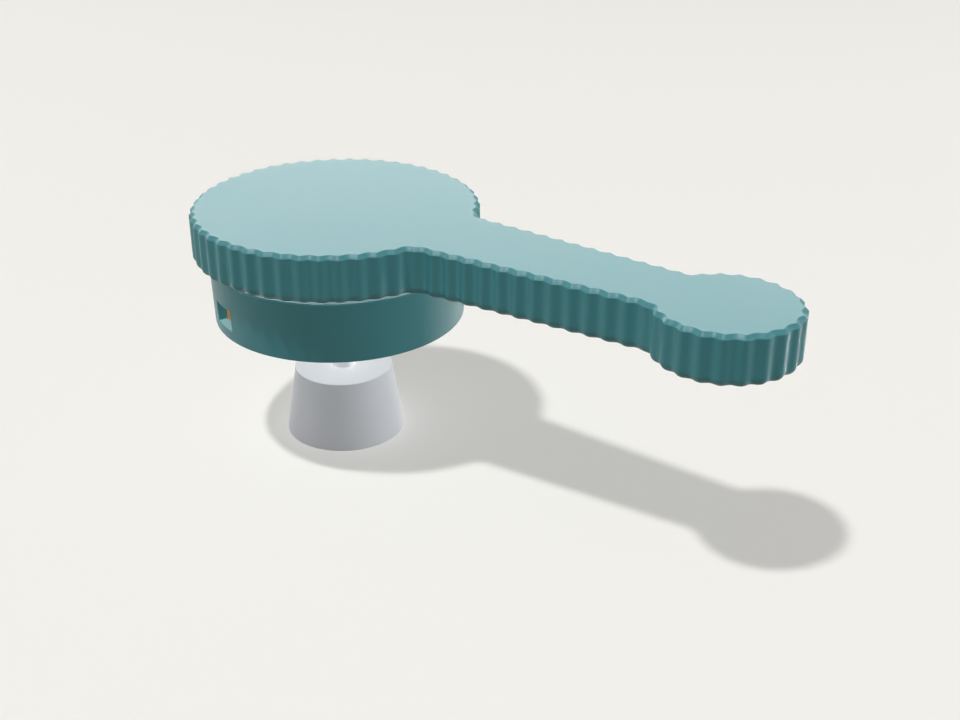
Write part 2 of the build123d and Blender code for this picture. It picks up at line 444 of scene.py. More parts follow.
@dataclass(frozen=True)
class FloorPaint(Finish):
    """Matt pale paint of the studio floor, which shows paler than it throws light back on the object.

    Well away from the object it fades into the backdrop.
    """

    backdrop: Colour
    bounce: float = 0.16
    fade_start: float = 0.42
    fade_end: float = 0.72

    def surface(self, graph: NodeGraph) -> dict[str | int, object]:
        """Give the paint's shader inputs.

        Args:
            graph: the material's node tree.

        Returns:
            The inputs by name.
        """
        seen = graph.seen()
        place = graph.node("ShaderNodeTexCoord", output="Object")
        reach = graph.node("ShaderNodeVectorMath", {"operation": "LENGTH"}, {0: place}, output="Value")
        fade_inputs = {"Value": reach, "From Min": self.fade_start, "From Max": self.fade_end}
        far = seen * graph.node("ShaderNodeMapRange", {"interpolation_type": "SMOOTHSTEP"}, fade_inputs)
        near_colour = graph.blend(seen, self.shade(self.bounce), self.colour)
        return {
            "Base Color": graph.vector("SCALE", near_colour, scale=1.0 - far),
            "Emission Color": graph.blend(far, (0.0, 0.0, 0.0), self.backdrop),
            "Emission Strength": 1.0,
            "Roughness": self.roughness,
            "Specular IOR Level": 0.0,
        }


@dataclass(frozen=True)
class Corner:
    """A corner of a section: its place outwards and upwards, and the radius that softens it."""

    out: float
    height: float
    soft: float = 0.0


def linked(name: str, data: bpy.types.ID) -> bpy.types.Object:
    """Make an object and link it into the scene.

    Args:
        name: the object's name.
        data: its mesh, curve, lamp or camera.

    Returns:
        The object.
    """
    made = bpy.data.objects.new(name, data)
    bpy.context.scene.collection.objects.link(made)
    return made


def stand(made: bpy.types.Object, place: Place, aim: Place) -> None:
    """Stand a lamp or camera at a place and turn it towards another."""
    made.location = place
    made.rotation_euler = (Vector(aim) - Vector(place)).to_track_quat("-Z", "Y").to_euler()


def soften(corners: list[Corner]) -> list[Point]:
    """Round the corners of a section.

    Args:
        corners: the section's corners in order; a corner with no radius stays a point.

    Returns:
        The section's points, with a short arc for each softened corner.
    """
    points: list[Point] = []
    for number, corner in enumerate(corners):
        here = Vector((corner.out, corner.height))
        if corner.soft == 0:
            points.append((corner.out, corner.height))
            continue
        before = corners[number - 1]
        after = corners[(number + 1) % len(corners)]
        back = (Vector((before.out, before.height)) - here).normalized()
        ahead = (Vector((after.out, after.height)) - here).normalized()
        half_angle = back.angle(ahead) / 2
        centre = here + (back + ahead).normalized() * corner.soft / math.sin(half_angle)
        first_spoke = here + back * corner.soft / math.tan(half_angle) - centre
        last_spoke = here + ahead * corner.soft / math.tan(half_angle) - centre
        steps = max(SOFT_STEPS, math.ceil((math.pi - 2 * half_angle) * corner.soft / ROUND_STEP))
        for step in range(steps + 1):
            spoke = first_spoke.lerp(last_spoke, step / steps).normalized() * corner.soft
            points.append((centre.x + spoke.x, centre.y + spoke.y))
    return points


def arc(centre: Vector, radius: float, start: float, end: float) -> list[Vector]:
    """Give points along an arc, about OUTLINE_STEP apart.

    Args:
        centre: the arc's centre.
        radius: its radius.
        start: the angle of its first point.
        end: the angle of its last point; an arc runs clockwise where this is the smaller.

    Returns:
        The points, with both ends.
    """
    count = math.ceil(abs(end - start) * radius / OUTLINE_STEP)
    angles = [start + (end - start) * number / count for number in range(count + 1)]
    return [centre + Vector((math.cos(angle), math.sin(angle))) * radius for angle in angles]


def curve_object(name: str, points: list[Point], cyclic: bool) -> bpy.types.Object:
    """Make a straight-run curve object in the XY plane, for a shape's node tree to read.

    Args:
        name: the object's name.
        points: the curve's points.
        cyclic: whether it closes on itself.

    Returns:
        The object.
    """
    curve = bpy.data.curves.new(name, "CURVE")
    curve.dimensions = "3D"
    spline = curve.splines.new("POLY")
    spline.points.add(len(points) - 1)
    for point, (x, y) in zip(spline.points, points):
        point.co = (x, y, 0.0, 1.0)
    spline.use_cyclic_u = cyclic
    return linked(name, curve)


def section_object(name: str, corners: list[Corner]) -> bpy.types.Object:
    """Make an open section for Curve to Mesh, whose profile runs down along its own Y axis."""
    return curve_object(name, [(out, -height) for out, height in soften(corners)], cyclic=False)


def settled_mesh(piece: bpy.types.Object) -> bpy.types.Mesh:
    """Give an object's mesh with its modifiers applied.

    Args:
        piece: the object, which keeps its modifiers.

    Returns:
        The new mesh.
    """
    bpy.context.view_layer.update()
    depsgraph = bpy.context.evaluated_depsgraph_get()
    return bpy.data.meshes.new_from_object(piece.evaluated_get(depsgraph), depsgraph=depsgraph)


def mesh_from(name: str, build: bmesh.types.BMesh) -> bpy.types.Mesh:
    """Merge doubles, turn the faces outwards and make a mesh.

    Args:
        name: the mesh's name.
        build: the faces, which are given up.

    Returns:
        The mesh.
    """
    bmesh.ops.remove_doubles(build, verts=build.verts, dist=MERGE_DISTANCE)
    bmesh.ops.recalc_face_normals(build, faces=build.faces)
    mesh = bpy.data.meshes.new(name)
    build.to_mesh(mesh)
    build.free()
    return mesh


def turned_mesh(name: str, corners: list[Corner], columns: int) -> bpy.types.Mesh:
    """Turn a closed section about the Z axis.

    Args:
        name: the mesh's name.
        corners: the section's corners, in order.
        columns: how many columns of faces go round.

    Returns:
        The turned mesh.
    """
    build = bmesh.new()
    rings = []
    angles = [2 * math.pi * column / columns for column in range(columns)]
    for out, height in soften(corners):
        places = [(out * math.cos(angle), out * math.sin(angle), height) for angle in angles]
        rings.append([build.verts.new(place) for place in places])
    for row, ring in enumerate(rings):
        inner = rings[row - 1]
        for column in range(columns):
            build.faces.new((inner[column - 1], inner[column], ring[column], ring[column - 1]))
    return mesh_from(name, build)


def cylinder_mesh(radius: float, length: float, columns: int, place: Matrix) -> bpy.types.Mesh:
    """Make a closed prism along its own Z axis, from 0 to its length.

    Args:
        radius: the prism's radius.
        length: its length.
        columns: how many sides it has.
        place: where it is put and how it is turned.

    Returns:
        The prism's mesh.
    """
    build = bmesh.new()
    bmesh.ops.create_cone(
        build,
        cap_ends=True,
        segments=columns,
        radius1=radius,
        radius2=radius,
        depth=length,
        matrix=place @ Matrix.Translation((0, 0, length / 2)),
    )
    return mesh_from("prism", build)


def cut(mesh: bpy.types.Mesh, tool_mesh: bpy.types.Mesh) -> bpy.types.Mesh:
    """Cut one closed mesh out of another.

    Args:
        mesh: the mesh that is cut.
        tool_mesh: the shape that is taken out of it.

    Returns:
        The mesh that is left.
    """
    piece = linked("cut_piece", mesh)
    tool = linked("cut_tool", tool_mesh)
    modifier = piece.modifiers.new("cut", "BOOLEAN")
    modifier.operation = "DIFFERENCE"
    modifier.solver = "EXACT"
    modifier.object = tool
    left = settled_mesh(piece)
    bpy.data.objects.remove(piece)
    bpy.data.objects.remove(tool)
    return left


def add_piece(
    name: str,
    mesh: bpy.types.Mesh,
    node: str,
    finish: bpy.types.Material | None = None,
) -> bpy.types.Object:
    """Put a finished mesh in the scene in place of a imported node.

    Args:
        name: the piece's name.
        mesh: its mesh, in its place.
        node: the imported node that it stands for.
        finish: its material, where its mesh has none yet.

    Returns:
        The piece.
    """
    if finish is not None:
        mesh.materials.append(finish)
    mesh.shade_smooth()
    mesh.set_sharp_from_angle(angle=SHARP_ANGLE)
    piece = linked(name, mesh)
    weighted = piece.modifiers.new("even_normals", "WEIGHTED_NORMAL")
    weighted.keep_sharp = True
    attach(piece, BODY)
    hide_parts(node)
    return piece


def round_edges(piece: bpy.types.Object, width: float, choice: EdgeChoice) -> None:
    """Round a piece's edges with a bevel that comes before its normals are evened.

    Args:
        piece: the piece.
        width: the bevel's width.
        choice: which edges it rounds.
    """
    bevel = piece.modifiers.new("round_edges", "BEVEL")
    bevel.limit_method = choice.value
    bevel.width = width
    bevel.segments = BEVEL_STEPS
    piece.modifiers.move(1, 0)


@dataclass(frozen=True)
class Stack:
    """Levels of the stacked pieces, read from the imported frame."""

    stem_top: float
    collar_foot: float
    collar_top: float
    boss_foot: float
    lever_top: float

    @classmethod
    def read(cls) -> Stack:
        """Read the levels off the nodes' boxes.

        Returns:
            The levels.
        """
        collar_low, collar_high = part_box("collar")
        lever_low, lever_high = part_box("lever")
        return cls(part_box("stem_cone")[1].z, collar_low.z, collar_high.z, lever_low.z, lever_high.z)


@dataclass(frozen=True)
class Window:
    """The index window in the collar's wall, and the grub screw's hole in the hub behind it."""

    level: float
    azimuth: float = math.radians(-113.0)
    width: float = 5.4 * MM
    height: float = 3.6 * MM
    grub_hole_radius: float = 2.03 * MM
    drill_columns: int = 48
    drill_overshoot: float = 1.2

    def axis(self) -> Matrix:
        """Place a frame on the hub's axis, with Z out through the window and Y up.

        Returns:
            The frame.
        """
        outward = Vector((math.cos(self.azimuth), math.sin(self.azimuth), 0))
        across = Vector((-outward.y, outward.x, 0))
        turn = Matrix((across, (0, 0, 1), outward)).transposed().to_4x4()
        return Matrix.Translation((0, 0, self.level)) @ turn

    def drill(self, wall_radius: float) -> bpy.types.Mesh:
        """Make the grub hole's drill, from the hub's axis out past a wall's outer radius."""
        length = wall_radius * self.drill_overshoot
        return cylinder_mesh(self.grub_hole_radius, length, self.drill_columns, self.axis())


class WavedRing(ShapeGraph):
    """Tree for a plate or socket whose rim is a wave along an outline, closed over a turned part."""

    WAVE = "wave"

    def __init__(self) -> None:
        """Build the tree."""
        super().__init__("waved_ring")
        outline = self.input("Outline", SocketKind.OBJECT)
        rim_section = self.input("Rim Section", SocketKind.OBJECT)
        foot_section = self.input("Foot Section", SocketKind.OBJECT)
        round_section = self.input("Round Section", SocketKind.OBJECT)
        round_radius = self.input("Round Radius", SocketKind.LENGTH)
        round_columns = self.input("Round Columns", SocketKind.COUNT)
        waves = self.input("Waves", SocketKind.COUNT)
        points = self.input("Points per Wave", SocketKind.COUNT)
        depth = self.input("Wave Depth", SocketKind.LENGTH)
        lead = self.input("Wave Lead", SocketKind.LENGTH)
        foot = self.input("Foot Level", SocketKind.LENGTH)
        top = self.input("Top Level", SocketKind.LENGTH)
        top_inset = self.input("Top Inset", SocketKind.LENGTH)
        foot_inset = self.input("Foot Inset", SocketKind.LENGTH)
        finish = self.input("Finish", SocketKind.FINISH)

        even = self.spread(self.shape_of(outline), waves * points)
        marked = self.marked(even, self.wave(waves, depth, lead))
        rim = self.waved(marked)
        top_rim = self.set_in(rim, top_inset)
        foot_rim = self.waved(self.set_in(marked, foot_inset))
        circle_inputs = {"Resolution": round_columns, "Radius": round_radius}
        circle = self.node("GeometryNodeCurvePrimitiveCircle", {"mode": "RADIUS"}, circle_inputs)
        wall = self.lifted(self.along(rim, self.shape_of(rim_section)), foot)
        wall_foot = self.lifted(self.waved(self.along(marked, self.shape_of(foot_section))), foot)
        turned = self.lifted(self.along(circle, self.shape_of(round_section)), foot)
        top_cap = self.lifted(self.filled([top_rim]), top)
        foot_cap = self.lifted(self.filled([foot_rim, circle]), foot)
        shells = [wall, wall_foot, top_cap, foot_cap, turned]
        joined = self.node("GeometryNodeJoinGeometry", inputs={"Geometry": shells})
        plain = self.node("GeometryNodeRemoveAttribute", inputs={"Geometry": joined, "Name": self.WAVE})
        merge_inputs = {"Geometry": plain, "Distance": MERGE_DISTANCE}
        self.close(self.node("GeometryNodeMergeByDistance", inputs=merge_inputs), finish)

    def outward(self) -> Signal:
        """Give the level direction that points out of a curve that runs anticlockwise."""
        tangent = self.node("GeometryNodeInputTangent")
        return self.vector("NORMALIZE", self.vector("CROSS_PRODUCT", tangent, (0.0, 0.0, 1.0)))

    def spread(self, outline: Signal, count: Signal) -> Signal:
        """Spread points evenly round an outline."""
        inputs = {"Curve": outline, "Count": count}
        return self.node("GeometryNodeResampleCurve", {"mode": "COUNT"}, inputs)

    def wave(self, waves: Signal, depth: Signal, lead: Signal) -> Signal:
        """Give each point of an outline its swing in or out by a cosine.

        Args:
            waves: how many waves go round the outline.
            depth: the wave's depth from crest to trough.
            lead: how far round the first crest stands.

        Returns:
            The swing as a vector.
        """
        travel = self.node("GeometryNodeSplineParameter", output="Length")
        whole = self.node("GeometryNodeSplineLength", output="Length")
        swing = ((travel - lead) * waves * (2 * math.pi) / whole).cosine() * depth / 2
        return self.vector("SCALE", self.outward(), scale=swing)

    def marked(self, curve: Signal, wave: Signal) -> Signal:
        """Keep the wave on a curve's points, so that what is carried along the curve has it too.

        Args:
            curve: the plain curve.
            wave: the swing of each of its points.

        Returns:
            The curve with the wave kept on it.
        """
        settings = {"data_type": "FLOAT_VECTOR", "domain": "POINT"}
        inputs = {"Geometry": curve, "Name": self.WAVE, "Value": wave}
        return self.node("GeometryNodeStoreNamedAttribute", settings, inputs)

    def waved(self, shape: Signal) -> Signal:
        """Move a shape's points by the wave kept on them.

        Args:
            shape: the shape.

        Returns:
            The waved shape.
        """
        settings = {"data_type": "FLOAT_VECTOR"}
        offset = self.node("GeometryNodeInputNamedAttribute", settings, {"Name": self.WAVE})
        return self.node("GeometryNodeSetPosition", inputs={"Geometry": shape, "Offset": offset})

    def set_in(self, curve: Signal, inset: Signal) -> Signal:
        """Set a level curve inwards by an inset."""
        offset = self.vector("SCALE", self.outward(), scale=0.0 - inset)
        return self.node("GeometryNodeSetPosition", inputs={"Geometry": curve, "Offset": offset})

    def lifted(self, shape: Signal, level: Signal) -> Signal:
        """Lift a shape to a level."""
        lift = self.node("ShaderNodeCombineXYZ", inputs={"Z": level})
        return self.node("GeometryNodeSetPosition", inputs={"Geometry": shape, "Offset": lift})

    def along(self, curve: Signal, section: Signal) -> Signal:
        """Carry a section along a level curve."""
        upright = self.node("GeometryNodeSetCurveNormal", {"mode": "Z_UP"}, {"Curve": curve})
        return self.node("GeometryNodeCurveToMesh", inputs={"Curve": upright, "Profile Curve": section})

    def filled(self, curves: list[Signal]) -> Signal:
        """Fill one level curve, or the space between two."""
        joined = self.node("GeometryNodeJoinGeometry", inputs={"Geometry": curves})
        return self.node("GeometryNodeFillCurve", {"mode": "NGONS"}, {"Curve": joined})

    def closed(self, guides: dict[str, bpy.types.Object], sizes: dict[str, object]) -> bpy.types.Mesh:
        """Run the tree, remove its guide curves and turn the faces outwards.

        Args:
            guides: the outline and the sections, by the names of the tree's inputs.
            sizes: the other inputs by name.

        Returns:
            The closed mesh.
        """
        mesh = self.mesh(guides | sizes)
        for guide in guides.values():
            bpy.data.objects.remove(guide)
        build = bmesh.new()
        build.from_mesh(mesh)
        bmesh.ops.recalc_face_normals(build, faces=build.faces)
        build.to_mesh(mesh)
        build.free()
        return mesh


@dataclass(frozen=True)
class Lever:
    """The waved lever plate with the round step and the boss under its hub."""

    stack: Stack
    window: Window
    thickness: float = 8.0 * MM
    hub_radius: float = 24.0 * MM
    arm_reach: float = 71.7 * MM
    end_radius: float = 11.0 * MM
    arm_width_at_hub: float = 19.1 * MM
    arm_width_at_end: float = 12.2 * MM
    inner_corner_radius: float = 2.5 * MM
    scallop_pitch: float = 3.0 * MM
    scallop_depth: float = 0.47 * MM
    scallop_lead: float = 0.65 * MM
    points_per_scallop: int = 24
    rim_chamfer: float = 0.6 * MM
    rim_soft: float = 0.2 * MM
    foot_round: float = 1.4 * MM
    # Straight run past a section's last corner, which leaves room for that corner's rounding.
    margin: float = 0.12 * MM
    step_radius: float = 19.5 * MM
    step_soft: float = 0.1 * MM
    boss_radius: float = 7.0 * MM
    boss_chamfer: float = 0.4 * MM
    bore_radius: float = 4.0 * MM
    bore_depth: float = 13.9 * MM
    round_columns: int = 160

    def outline(self) -> list[Point]:
        """Draw the plain outline, anticlockwise from the arm's left edge at its far end.

        Returns:
            The outline's points.
        """
        lean = math.atan((self.arm_width_at_hub - self.arm_width_at_end) / 2 / self.arm_reach)
        edge_out = Vector((math.sin(lean), math.cos(lean)))
        edge_along = Vector((math.cos(lean), -math.sin(lean)))
        blend = self.inner_corner_radius
        hub = Vector((0.0, 0.0))
        end = Vector((self.arm_reach, 0.0))
        hub_rise = self.arm_width_at_hub / 2 * math.cos(lean) + blend
        end_rise = self.arm_width_at_end / 2 * math.cos(lean) + blend
        hub_run = math.sqrt((self.hub_radius + blend) ** 2 - hub_rise**2)
        end_run = math.sqrt((self.end_radius + blend) ** 2 - end_rise**2)
        hub_corner = hub + edge_out * hub_rise + edge_along * hub_run
        end_corner = end + edge_out * end_rise - edge_along * end_run
        down = math.atan2(-edge_out.y, -edge_out.x)
        hub_turn = math.atan2(hub_corner.y, hub_corner.x)
        end_turn = math.atan2((end_corner - end).y, (end_corner - end).x)
        left_hub_blend = arc(hub_corner, blend, down, hub_turn - math.pi)
        hub_round = arc(hub, self.hub_radius, hub_turn, 2 * math.pi - hub_turn)
        end_round = arc(end, self.end_radius, -end_turn, end_turn)
        left_end_blend = arc(end_corner, blend, end_turn - math.pi, down)
        right_hub_blend = [Vector((point.x, -point.y)) for point in reversed(left_hub_blend)]
        right_end_blend = [Vector((point.x, -point.y)) for point in reversed(left_end_blend)]
        runs = [left_hub_blend, hub_round, right_hub_blend, right_end_blend, end_round, left_end_blend]
        whole = [left_end_blend[-1]]
        for run in runs:
            whole.extend(run if (run[0] - whole[-1]).length > MERGE_DISTANCE else run[1:])
        return [(point.x, point.y) for point in whole[:-1]]

    def rim_section(self) -> list[Corner]:
        """Draw the rim above its rounded foot.

        Returns:
            The section's corners, as places out from the waved outline.
        """
        return [
            Corner(0.0, self.foot_round + self.margin),
            Corner(0.0, self.thickness - self.rim_chamfer, self.rim_soft),
            Corner(-self.rim_chamfer, self.thickness, self.rim_soft),
            Corner(-self.rim_chamfer - self.margin, self.thickness),
        ]

    def foot_section(self) -> list[Corner]:
        """Draw the rim's rounded foot.

        Returns:
            The section's corners, as places out from the plain outline.
        """
        return [
            Corner(-self.foot_round - self.margin, 0.0),
            Corner(0.0, 0.0, self.foot_round),
            Corner(0.0, self.foot_round + self.margin),
        ]

    def underside_section(self) -> list[Corner]:
        """Draw the step, the boss and its bore.

        Returns:
            The section's corners, as places out from the step's edge.
        """
        plate_foot = self.stack.lever_top - self.thickness
        step_foot = self.stack.collar_top - plate_foot
        boss_foot = self.stack.boss_foot - plate_foot
        boss = self.boss_radius - self.step_radius
        bore = self.bore_radius - self.step_radius
        return [
            Corner(0.0, 0.0),
            Corner(0.0, step_foot, self.step_soft),
            Corner(boss, step_foot),
            Corner(boss, boss_foot + self.boss_chamfer),
            Corner(boss - self.boss_chamfer, boss_foot),
            Corner(bore, boss_foot),
            Corner(bore, boss_foot + self.bore_depth),
            Corner(-self.step_radius, boss_foot + self.bore_depth),
        ]

    def build(self, tree: WavedRing, coat: bpy.types.Material) -> bpy.types.Object:
        """Make the lever and put it in place of its node.

        Args:
            tree: the tree that waves the rim.
            coat: the lever's material.

        Returns:
            The piece.
        """
        outline = self.outline()
        perimeter = sum(math.dist(outline[number - 1], outline[number]) for number in range(len(outline)))
        guides = {
            "Outline": curve_object("lever_outline", outline, cyclic=True),
            "Rim Section": section_object("lever_rim_section", self.rim_section()),
            "Foot Section": section_object("lever_foot_section", self.foot_section()),
            "Round Section": section_object("lever_underside_section", self.underside_section()),
        }
        sizes = {
            "Round Radius": self.step_radius,
            "Round Columns": self.round_columns,
            "Waves": round(perimeter / self.scallop_pitch),
            "Points per Wave": self.points_per_scallop,
            "Wave Depth": self.scallop_depth,
            "Wave Lead": self.scallop_lead,
            "Foot Level": self.stack.lever_top - self.thickness,
            "Top Level": self.stack.lever_top,
            "Top Inset": self.rim_chamfer + self.margin,
            "Foot Inset": self.foot_round + self.margin,
            "Finish": coat,
        }
        mesh = cut(tree.closed(guides, sizes), self.window.drill(self.boss_radius))
        return add_piece("lever_plate", mesh, "lever")


@dataclass(frozen=True)
class Collar:
    """The drafted collar under the lever, open below, with the index window in its wall."""

    stack: Stack
    window: Window
    top_radius: float = 21.7 * MM
    foot_radius: float = 21.4 * MM
    wall: float = 3.0 * MM
    deck: float = 2.6 * MM
    boss_hole_radius: float = 7.2 * MM
    edge_soft: float = 0.25 * MM
    inner_soft: float = 1.6 * MM
    window_soft: float = 0.12 * MM
    window_columns: int = 8
    plain_columns: int = 200

    def draft(self, height: float) -> float:
        """Give how far the wall leans out at a height above the collar's foot."""
        whole = self.stack.collar_top - self.stack.collar_foot
        return (self.top_radius - self.foot_radius) * height / whole

    def section(self) -> list[Corner]:
        """Draw the closed section, with the window's sill and head marked on both faces of the wall.

        Returns:
            The section's corners.
        """
        foot, top = self.stack.collar_foot, self.stack.collar_top
        deck_foot = top - self.deck
        sill = self.window.level - self.window.height / 2
        head = self.window.level + self.window.height / 2
        bore = self.foot_radius - self.wall
        return [
            Corner(self.foot_radius, foot, self.edge_soft),
            Corner(self.foot_radius + self.draft(sill - foot), sill),
            Corner(self.foot_radius + self.draft(head - foot), head),
            Corner(self.top_radius, top, self.edge_soft),
            Corner(self.boss_hole_radius, top),
            Corner(self.boss_hole_radius, deck_foot, self.edge_soft),
            Corner(bore + self.draft(deck_foot - foot), deck_foot, self.inner_soft),
            Corner(bore + self.draft(head - foot), head),
            Corner(bore + self.draft(sill - foot), sill),
            Corner(bore, foot, self.edge_soft),
        ]

    def column_angles(self, radius: float) -> list[float]:
        """Give the columns' angles: first the window's own, parallel to its axis, then the rest round.

        Args:
            radius: the radius at which the columns stand.

        Returns:
            The angles.
        """
        shares = [column / self.window_columns - 0.5 for column in range(self.window_columns + 1)]
        across = [math.asin(share * self.window.width / radius) for share in shares]
        rest = 2 * math.pi - 2 * across[-1]
        around = [across[-1] + rest * column / self.plain_columns for column in range(1, self.plain_columns)]
        return [self.window.azimuth + angle for angle in across + around]

    def build(self, coat: bpy.types.Material) -> bpy.types.Object:
        """Make the collar and put it in place of its node.

        Args:
            coat: the collar's material.

        Returns:
            The piece.
        """
        corners = self.section()
        points = soften(corners)
        build = bmesh.new()
        rings = []
        for out, height in points:
            angles = self.column_angles(out)
            places = [(out * math.cos(angle), out * math.sin(angle), height) for angle in angles]
            rings.append([build.verts.new(place) for place in places])
        marks = [(corner.out, corner.height) for corner in corners if corner.soft == 0]
        outer_sill, outer_head, _, inner_head, inner_sill = (points.index(mark) for mark in marks)
        for row, ring in enumerate(rings):
            below = rings[row - 1]
            in_window_rows = row in (outer_head, inner_sill)
            for column in range(len(ring)):
                if in_window_rows and 1 <= column <= self.window_columns:
                    continue
                build.faces.new((below[column - 1], below[column], ring[column], ring[column - 1]))
        window_rings = [rings[row] for row in (outer_sill, outer_head, inner_sill, inner_head)]
        weights = build.edges.layers.float.new("bevel_weight_edge")
        for edge in self.close_window(build, *window_rings):
            edge[weights] = 1.0
        mesh = mesh_from("collar_shell", build)
        piece = add_piece("collar_shell", mesh, "collar", coat)
        round_edges(piece, self.window_soft, EdgeChoice.MARKED)
        return piece

    def close_window(
        self,
        build: bmesh.types.BMesh,
        outer_sill: list[bmesh.types.BMVert],
        outer_head: list[bmesh.types.BMVert],
        inner_sill: list[bmesh.types.BMVert],
        inner_head: list[bmesh.types.BMVert],
    ) -> list[bmesh.types.BMEdge]:
        """Line the window through the wall.

        Args:
            build: the mesh in the making.
            outer_sill: the ring at the sill on the wall's outer face.
            outer_head: the ring at the head on the outer face.
            inner_sill: the ring at the sill on the inner face.
            inner_head: the ring at the head on the inner face.

        Returns:
            The edges round the window on the outer face.
        """
        last = self.window_columns
        edges = []
        for outer, inner in ((outer_sill, inner_sill), (outer_head, inner_head)):
            for column in range(last):
                build.faces.new((outer[column], outer[column + 1], inner[column + 1], inner[column]))
                edges.append(build.edges.get((outer[column], outer[column + 1])))
        for column in (0, last):
            build.faces.new((outer_sill[column], outer_head[column], inner_head[column], inner_sill[column]))
            edges.append(build.edges.get((outer_sill[column], outer_head[column])))
        return edges


@dataclass(frozen=True)
class IndexPlug:
    """The coloured plug that snaps into the collar's window from inside."""

    window: Window
    face: float = 19.86 * MM
    ridge_face: float = 18.15 * MM
    ridge_depth: float = 0.6 * MM
    ridge: float = 0.3 * MM
    clearance: float = 0.05 * MM
    soft: float = 0.18 * MM

    def build(self, plastic: bpy.types.Material) -> bpy.types.Object:
        """Make the plug and put it in place of its node.

        Args:
            plastic: the plug's material.

        Returns:
            The piece.
        """
        half_width = self.window.width / 2 - self.clearance
        half_height = self.window.height / 2 - self.clearance
        half_ridge = self.window.height / 2 + self.ridge
        back = self.ridge_face - self.ridge_depth
        outline = [
            (-half_ridge, back),
            (-half_ridge, self.ridge_face),
            (-half_height, self.ridge_face),
            (-half_height, self.face),
            (half_height, self.face),
            (half_height, self.ridge_face),
            (half_ridge, self.ridge_face),
            (half_ridge, back),
        ]
        build = bmesh.new()
        place = self.window.axis()
        left = [build.verts.new(place @ Vector((-half_width, up, out))) for up, out in outline]
        right = [build.verts.new(place @ Vector((half_width, up, out))) for up, out in outline]
        build.faces.new(left)
        build.faces.new(right)
        for number in range(len(outline)):
            build.faces.new((left[number - 1], left[number], right[number], right[number - 1]))
        mesh = mesh_from("index_plug_block", build)
        piece = add_piece("index_plug_block", mesh, "index_plug", plastic)
        round_edges(piece, self.soft, EdgeChoice.CORNERS)
        return piece


@dataclass(frozen=True)
class HubFittings:
    """The brass insert in the boss, the rod in it and the grub screw that holds the rod."""

    stack: Stack
    window: Window
    insert_radius: float = 4.0 * MM
    insert_depth: float = 13.6 * MM
    flange_radius: float = 5.4 * MM
    flange_thickness: float = 0.8 * MM
    bore_radius: float = 2.03 * MM
    rod_radius: float = 2.0 * MM
    rod_chamfer: float = 0.4 * MM
    rod_flat_depth: float = 0.4 * MM
    rod_flat_length: float = 5.0 * MM
    soft: float = 0.1 * MM
    columns: int = 96

    def build(self, brass: bpy.types.Material, steel: bpy.types.Material) -> list[bpy.types.Object]:
        """Make the insert and the rod, and dress the grub screw's own node."""
        return [self.build_insert(brass), self.build_rod(steel), self.dress_grub_screw(steel)]

    def build_insert(self, brass: bpy.types.Material) -> bpy.types.Object:
        """Make the insert and put it in place of its node.

        Args:
            brass: the insert's material.

        Returns:
            The piece.
        """
        foot = self.stack.boss_foot
        insert = turned_mesh(
            "hub_insert_bush",
            [
                Corner(self.bore_radius, foot - self.flange_thickness, self.soft),
                Corner(self.flange_radius, foot - self.flange_thickness, self.soft),
                Corner(self.flange_radius, foot, self.soft),
                Corner(self.insert_radius, foot),
                Corner(self.insert_radius, foot + self.insert_depth, self.soft),
                Corner(self.bore_radius, foot + self.insert_depth, self.soft),
            ],
            self.columns,
        )
        insert = cut(insert, self.window.drill(self.insert_radius))
        return add_piece("hub_insert_bush", insert, "hub_insert", brass)

    def build_rod(self, steel: bpy.types.Material) -> bpy.types.Object:
        """Make the rod with its milled flat and put it in place of its node.

        Args:
            steel: the rod's material.

        Returns:
            The piece.
        """
        low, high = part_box("extension_rod")
        rod = turned_mesh(
            "extension_rod_bar",
            [
                Corner(0.0, low.z),
                Corner(self.rod_radius - self.rod_chamfer, low.z, self.soft),
                Corner(self.rod_radius, low.z + self.rod_chamfer, self.soft),
                Corner(self.rod_radius, high.z - self.rod_chamfer, self.soft),
                Corner(self.rod_radius - self.rod_chamfer, high.z, self.soft),
                Corner(0.0, high.z),
            ],
            self.columns,
        )
        rod = cut(rod, self.flat_cutter())
        return add_piece("extension_rod_bar", rod, "extension_rod", steel)

    @staticmethod
    def dress_grub_screw(steel: bpy.types.Material) -> bpy.types.Object:
        """Give the grub screw's own node its finish.

        Args:
            steel: the screw's material.

        Returns:
            The node.
        """
        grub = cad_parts["grub_screw"]
        grub.data.materials.clear()
        grub.data.materials.append(steel)
        return grub

    def flat_cutter(self) -> bpy.types.Mesh:
        """Make the block that mills the rod's flat.

        Returns:
            The block's mesh.
        """
        build = bmesh.new()
        size = Matrix.Diagonal((4 * self.rod_radius, self.rod_flat_length, 2 * self.rod_flat_depth, 1.0))
        place = self.window.axis() @ Matrix.Translation((0, 0, self.rod_radius))
        bmesh.ops.create_cube(build, size=1.0, matrix=place @ size)
        return mesh_from("flat_cutter", build)


